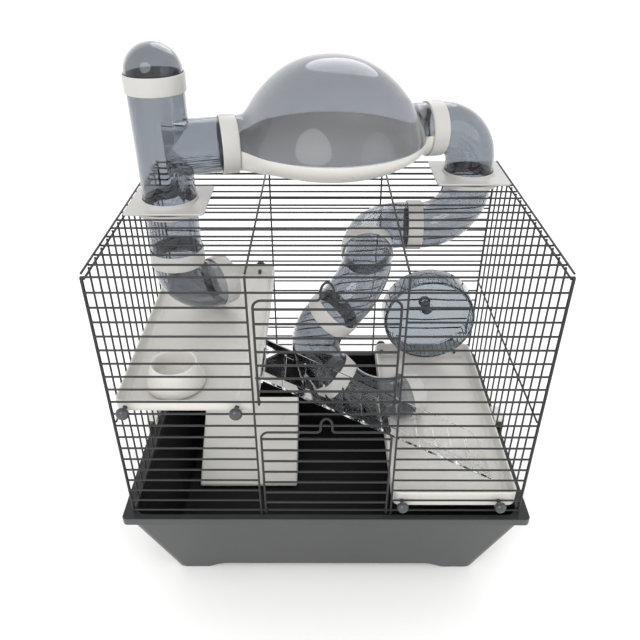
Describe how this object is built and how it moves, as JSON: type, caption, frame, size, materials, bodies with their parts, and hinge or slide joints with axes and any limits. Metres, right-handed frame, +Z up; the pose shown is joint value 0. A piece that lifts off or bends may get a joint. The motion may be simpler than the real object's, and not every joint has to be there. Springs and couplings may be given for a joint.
{
  "type": "hamster cage",
  "caption": "Two-storey wire hamster cage on a deep tray, with shelves, ramp, running wheel, hide, food bowl and a route of clear tubes through an outside capsule.",
  "frame": {"origin": "on the floor, under the middle of the whole outline", "axes": "+Z up; the doors face -Y; +X is to the right when facing the doors"},
  "size_m": [0.4668, 0.3314, 0.5908],
  "materials": {
    "tray_plastic": "satin moulded plastic",
    "white_plastic": "warm white satin plastic",
    "wire": "dark grey enamelled wire",
    "knob": "glossy dark grey plastic",
    "smoke_plastic": "clear blue-grey plastic",
    "clear_plastic": "clear plastic"
  },
  "bodies": {
    "tray": {"base_tray": "tray_plastic"},
    "clip_left": {"side_clip_left": "white_plastic"},
    "clip_right": {"side_clip_right": "white_plastic"},
    "cage": {"front_panel": "wire", "back_panel": "wire", "left_panel": "wire", "right_panel": "wire", "top_panel": "wire", "upper_shelf": "white_plastic", "lower_shelf": "white_plastic", "upper_shelf_peg_front_left": "knob", "upper_shelf_peg_front_right": "knob", "upper_shelf_peg_back_left": "knob", "upper_shelf_peg_back_right": "knob", "lower_shelf_peg_front_left": "knob", "lower_shelf_peg_front_right": "knob", "lower_shelf_peg_back_left": "knob", "lower_shelf_peg_back_right": "knob", "wheel_axle": "knob", "wheel_nut": "knob", "left_port_plate": "white_plastic", "left_port_ring": "white_plastic", "right_port_plate": "white_plastic", "right_port_ring": "white_plastic", "tee_tube": "smoke_plastic", "drop_tube": "smoke_plastic", "pod_bowl": "white_plastic", "cap_collar": "white_plastic", "branch_collar": "white_plastic", "elbow_collar": "white_plastic", "drop_collar": "white_plastic", "drop_end_collar": "white_plastic", "route_collar_a": "white_plastic", "route_collar_b": "white_plastic", "route_collar_c": "white_plastic", "route_collar_d": "white_plastic", "route_collar_e": "white_plastic", "outer_elbow": "smoke_plastic", "drop_elbow": "smoke_plastic", "route_elbow_a": "smoke_plastic", "route_elbow_b": "smoke_plastic", "route_elbow_c": "smoke_plastic", "route_elbow_d": "smoke_plastic", "route_elbow_e": "smoke_plastic"},
    "upper_door": {"upper_door": "wire"},
    "lower_door": {"lower_door": "wire"},
    "wheel": {"wheel": "smoke_plastic"},
    "dome_cap": {"dome_cap": "smoke_plastic"},
    "pod_lid": {"pod_dome": "smoke_plastic"},
    "food_bowl": {"food_bowl": "white_plastic"},
    "hide": {"hide_house": "white_plastic"},
    "ramp": {"ramp": "clear_plastic"}
  },
  "joints": [
    {"name": "cage_lift", "type": "slide", "parent": "tray", "child": "cage", "axis": [0, 0, 1], "range_m": [0, 0.15]},
    {"name": "clip_left_hinge", "type": "hinge", "parent": "tray", "child": "clip_left", "pos_m": [-0.2321, -0.00203, 0.1073], "axis": [0, -1, 0], "range_deg": [0, 80]},
    {"name": "clip_right_hinge", "type": "hinge", "parent": "tray", "child": "clip_right", "pos_m": [0.2321, -0.00203, 0.1073], "axis": [0, 1, 0], "range_deg": [0, 80]},
    {"name": "upper_door_hinge", "type": "hinge", "parent": "cage", "child": "upper_door", "pos_m": [0, -0.15428, 0.28309], "axis": [1, 0, 0], "range_deg": [0, 140]},
    {"name": "lower_door_hinge", "type": "hinge", "parent": "cage", "child": "lower_door", "pos_m": [0, -0.15428, 0.1252], "axis": [1, 0, 0], "range_deg": [0, 88]},
    {"name": "wheel_spin", "type": "hinge", "parent": "cage", "child": "wheel", "pos_m": [0.146, 0.12272, 0.21204], "axis": [0, 1, 0], "continuous": true},
    {"name": "dome_cap_lift", "type": "slide", "parent": "cage", "child": "dome_cap", "axis": [0, 0, 1], "range_m": [0, 0.06]},
    {"name": "pod_lid_lift", "type": "slide", "parent": "cage", "child": "pod_lid", "axis": [0, 0, 1], "range_m": [0, 0.12]},
    {"name": "food_bowl_lift", "type": "slide", "parent": "cage", "child": "food_bowl", "axis": [0, 0, 1], "range_m": [0, 0.06]},
    {"name": "hide_lift", "type": "slide", "parent": "tray", "child": "hide", "axis": [0, 0, 1], "range_m": [0, 0.06]},
    {"name": "ramp_tilt", "type": "hinge", "parent": "cage", "child": "ramp", "pos_m": [-0.07125, -0.08303, 0.281], "axis": [0, -1, 0], "range_deg": [0, 8]}
  ]
}
